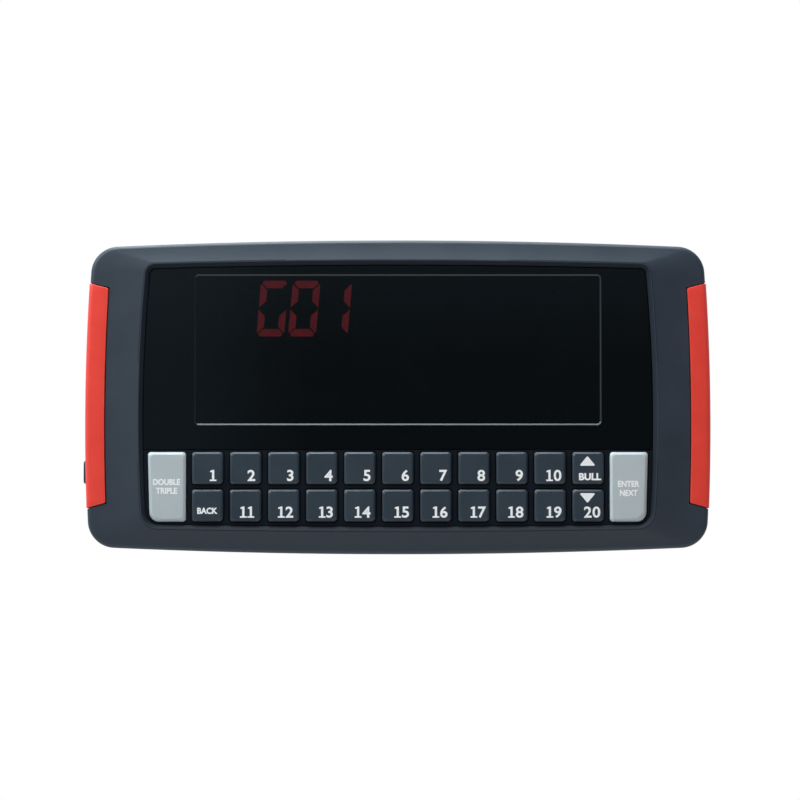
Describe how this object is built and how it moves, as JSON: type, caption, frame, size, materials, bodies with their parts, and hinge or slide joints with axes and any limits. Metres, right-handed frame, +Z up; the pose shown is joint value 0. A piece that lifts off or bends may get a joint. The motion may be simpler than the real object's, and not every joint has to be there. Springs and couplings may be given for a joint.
{
  "type": "electronic dart scorer",
  "caption": "Wall-hung electronic dart score box with a smoked digit display, two rows of sprung score keys, wide end keys and red side grips.",
  "frame": {"origin": "middle of the flat back face, which lies against the wall", "axes": "+X to the right as a player sees the box, +Y into the wall, +Z up; the keys face -Y"},
  "size_m": [0.286, 0.03, 0.1428],
  "materials": {
    "case_plastic": "fine-textured charcoal ABS",
    "rear_plastic": "black textured ABS",
    "grip_rubber": "smooth red soft-touch rubber",
    "smoked_acrylic": "polished smoked acrylic",
    "fascia_plastic": "satin black ABS",
    "key_plastic": "satin charcoal ABS with white print",
    "button_plastic": "satin charcoal ABS",
    "wide_key_plastic": "satin light grey ABS with white print",
    "silicone": "matt grey silicone",
    "circuit_board": "glass-epoxy board with green solder mask",
    "digit_resin": "red tinted segments in a dark moulded reflector",
    "chip_resin": "black moulding resin",
    "cable_vinyl": "grey ribbed vinyl",
    "zinc_steel": "zinc-plated steel",
    "speaker_steel": "pressed steel",
    "speaker_paper": "black treated paper",
    "switch_nylon": "black nylon"
  },
  "bodies": {
    "case": {"front_housing": "case_plastic", "rear_housing": "rear_plastic", "left_grip": "grip_rubber", "right_grip": "grip_rubber", "display_lens": "smoked_acrylic", "key_fascia": "fascia_plastic", "key_mat": "silicone", "key_board": "circuit_board", "display_board": "circuit_board", "digits_upper_left": "digit_resin", "digits_upper_right": "digit_resin", "digits_lower_left": "digit_resin", "digits_lower_right": "digit_resin", "controller_chip": "chip_resin", "link_cable": "cable_vinyl", "case_screw_1": "zinc_steel", "case_screw_2": "zinc_steel", "case_screw_3": "zinc_steel", "case_screw_4": "zinc_steel", "case_screw_5": "zinc_steel", "case_screw_6": "zinc_steel", "display_board_screw_1": "zinc_steel", "display_board_screw_2": "zinc_steel", "display_board_screw_3": "zinc_steel", "display_board_screw_4": "zinc_steel", "key_board_screw_1": "zinc_steel", "key_board_screw_2": "zinc_steel", "key_board_screw_3": "zinc_steel", "key_board_screw_4": "zinc_steel", "speaker_frame": "speaker_steel", "speaker_cone": "speaker_paper", "power_switch": "switch_nylon", "dc_inlet": "switch_nylon"},
    "key_1": {"key_1": "key_plastic"},
    "key_2": {"key_2": "key_plastic"},
    "key_3": {"key_3": "key_plastic"},
    "key_4": {"key_4": "key_plastic"},
    "key_5": {"key_5": "key_plastic"},
    "key_6": {"key_6": "key_plastic"},
    "key_7": {"key_7": "key_plastic"},
    "key_8": {"key_8": "key_plastic"},
    "key_9": {"key_9": "key_plastic"},
    "key_10": {"key_10": "key_plastic"},
    "key_11": {"key_11": "key_plastic"},
    "key_12": {"key_12": "key_plastic"},
    "key_13": {"key_13": "key_plastic"},
    "key_14": {"key_14": "key_plastic"},
    "key_15": {"key_15": "key_plastic"},
    "key_16": {"key_16": "key_plastic"},
    "key_17": {"key_17": "key_plastic"},
    "key_18": {"key_18": "key_plastic"},
    "key_19": {"key_19": "key_plastic"},
    "key_20": {"key_20": "key_plastic"},
    "key_back": {"key_back": "key_plastic"},
    "key_bull": {"key_bull": "key_plastic"},
    "key_double_triple": {"key_double_triple": "wide_key_plastic"},
    "key_enter_next": {"key_enter_next": "wide_key_plastic"},
    "power_button": {"power_button": "button_plastic"}
  },
  "joints": [
    {"name": "key_1_press", "type": "slide", "parent": "case", "child": "key_1", "axis": [0, 1, 0], "range_m": [0, 0.0012], "stiffness_N_per_m": 400, "deforming": ["key_mat"]},
    {"name": "key_2_press", "type": "slide", "parent": "case", "child": "key_2", "axis": [0, 1, 0], "range_m": [0, 0.0012], "stiffness_N_per_m": 400, "deforming": ["key_mat"]},
    {"name": "key_3_press", "type": "slide", "parent": "case", "child": "key_3", "axis": [0, 1, 0], "range_m": [0, 0.0012], "stiffness_N_per_m": 400, "deforming": ["key_mat"]},
    {"name": "key_4_press", "type": "slide", "parent": "case", "child": "key_4", "axis": [0, 1, 0], "range_m": [0, 0.0012], "stiffness_N_per_m": 400, "deforming": ["key_mat"]},
    {"name": "key_5_press", "type": "slide", "parent": "case", "child": "key_5", "axis": [0, 1, 0], "range_m": [0, 0.0012], "stiffness_N_per_m": 400, "deforming": ["key_mat"]},
    {"name": "key_6_press", "type": "slide", "parent": "case", "child": "key_6", "axis": [0, 1, 0], "range_m": [0, 0.0012], "stiffness_N_per_m": 400, "deforming": ["key_mat"]},
    {"name": "key_7_press", "type": "slide", "parent": "case", "child": "key_7", "axis": [0, 1, 0], "range_m": [0, 0.0012], "stiffness_N_per_m": 400, "deforming": ["key_mat"]},
    {"name": "key_8_press", "type": "slide", "parent": "case", "child": "key_8", "axis": [0, 1, 0], "range_m": [0, 0.0012], "stiffness_N_per_m": 400, "deforming": ["key_mat"]},
    {"name": "key_9_press", "type": "slide", "parent": "case", "child": "key_9", "axis": [0, 1, 0], "range_m": [0, 0.0012], "stiffness_N_per_m": 400, "deforming": ["key_mat"]},
    {"name": "key_10_press", "type": "slide", "parent": "case", "child": "key_10", "axis": [0, 1, 0], "range_m": [0, 0.0012], "stiffness_N_per_m": 400, "deforming": ["key_mat"]},
    {"name": "key_11_press", "type": "slide", "parent": "case", "child": "key_11", "axis": [0, 1, 0], "range_m": [0, 0.0012], "stiffness_N_per_m": 400, "deforming": ["key_mat"]},
    {"name": "key_12_press", "type": "slide", "parent": "case", "child": "key_12", "axis": [0, 1, 0], "range_m": [0, 0.0012], "stiffness_N_per_m": 400, "deforming": ["key_mat"]},
    {"name": "key_13_press", "type": "slide", "parent": "case", "child": "key_13", "axis": [0, 1, 0], "range_m": [0, 0.0012], "stiffness_N_per_m": 400, "deforming": ["key_mat"]},
    {"name": "key_14_press", "type": "slide", "parent": "case", "child": "key_14", "axis": [0, 1, 0], "range_m": [0, 0.0012], "stiffness_N_per_m": 400, "deforming": ["key_mat"]},
    {"name": "key_15_press", "type": "slide", "parent": "case", "child": "key_15", "axis": [0, 1, 0], "range_m": [0, 0.0012], "stiffness_N_per_m": 400, "deforming": ["key_mat"]},
    {"name": "key_16_press", "type": "slide", "parent": "case", "child": "key_16", "axis": [0, 1, 0], "range_m": [0, 0.0012], "stiffness_N_per_m": 400, "deforming": ["key_mat"]},
    {"name": "key_17_press", "type": "slide", "parent": "case", "child": "key_17", "axis": [0, 1, 0], "range_m": [0, 0.0012], "stiffness_N_per_m": 400, "deforming": ["key_mat"]},
    {"name": "key_18_press", "type": "slide", "parent": "case", "child": "key_18", "axis": [0, 1, 0], "range_m": [0, 0.0012], "stiffness_N_per_m": 400, "deforming": ["key_mat"]},
    {"name": "key_19_press", "type": "slide", "parent": "case", "child": "key_19", "axis": [0, 1, 0], "range_m": [0, 0.0012], "stiffness_N_per_m": 400, "deforming": ["key_mat"]},
    {"name": "key_20_press", "type": "slide", "parent": "case", "child": "key_20", "axis": [0, 1, 0], "range_m": [0, 0.0012], "stiffness_N_per_m": 400, "deforming": ["key_mat"]},
    {"name": "key_back_press", "type": "slide", "parent": "case", "child": "key_back", "axis": [0, 1, 0], "range_m": [0, 0.0012], "stiffness_N_per_m": 400, "deforming": ["key_mat"]},
    {"name": "key_bull_press", "type": "slide", "parent": "case", "child": "key_bull", "axis": [0, 1, 0], "range_m": [0, 0.0012], "stiffness_N_per_m": 400, "deforming": ["key_mat"]},
    {"name": "key_double_triple_press", "type": "slide", "parent": "case", "child": "key_double_triple", "axis": [0, 1, 0], "range_m": [0, 0.0012], "stiffness_N_per_m": 400, "deforming": ["key_mat"]},
    {"name": "key_enter_next_press", "type": "slide", "parent": "case", "child": "key_enter_next", "axis": [0, 1, 0], "range_m": [0, 0.0012], "stiffness_N_per_m": 400, "deforming": ["key_mat"]},
    {"name": "power_button_press", "type": "slide", "parent": "case", "child": "power_button", "axis": [1, 0, 0], "range_m": [0, 0.0008], "stiffness_N_per_m": 500}
  ]
}
